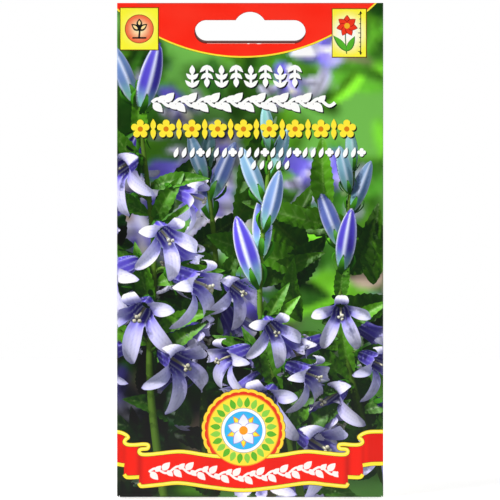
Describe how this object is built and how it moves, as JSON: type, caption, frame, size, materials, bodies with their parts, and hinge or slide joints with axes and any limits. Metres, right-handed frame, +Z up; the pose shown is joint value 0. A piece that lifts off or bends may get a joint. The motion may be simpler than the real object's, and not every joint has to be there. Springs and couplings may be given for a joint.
{
  "type": "seed packet",
  "caption": "Flat folded paper flower-seed packet with a printed front and a euro hang slot in its header, closed round a small inner sachet of seed.",
  "frame": {"origin": "where a peg bears in the euro slot: the top of the slot's hump, half way through the header's thickness", "axes": "+Z up the packet to its top edge, -Y out of the printed front, +Y out of the back with its flaps, +X to the right as the front is seen"},
  "size_m": [0.08, 0.0022, 0.1485],
  "materials": {
    "printed_paper": "gloss-coated printed paper, plain white inside",
    "adhesive": "dried dispersion adhesive, satin",
    "clear_film": "clear glossy polypropylene film",
    "seed_coat": "dry matt seed"
  },
  "bodies": {
    "root": {"envelope": "printed_paper", "glue_side_seam": "adhesive", "glue_bottom_flap": "adhesive", "glue_top_seal": "adhesive", "sachet_front_film": "clear_film", "sachet_back_film": "clear_film", "seeds": "seed_coat"}
  },
  "joints": []
}
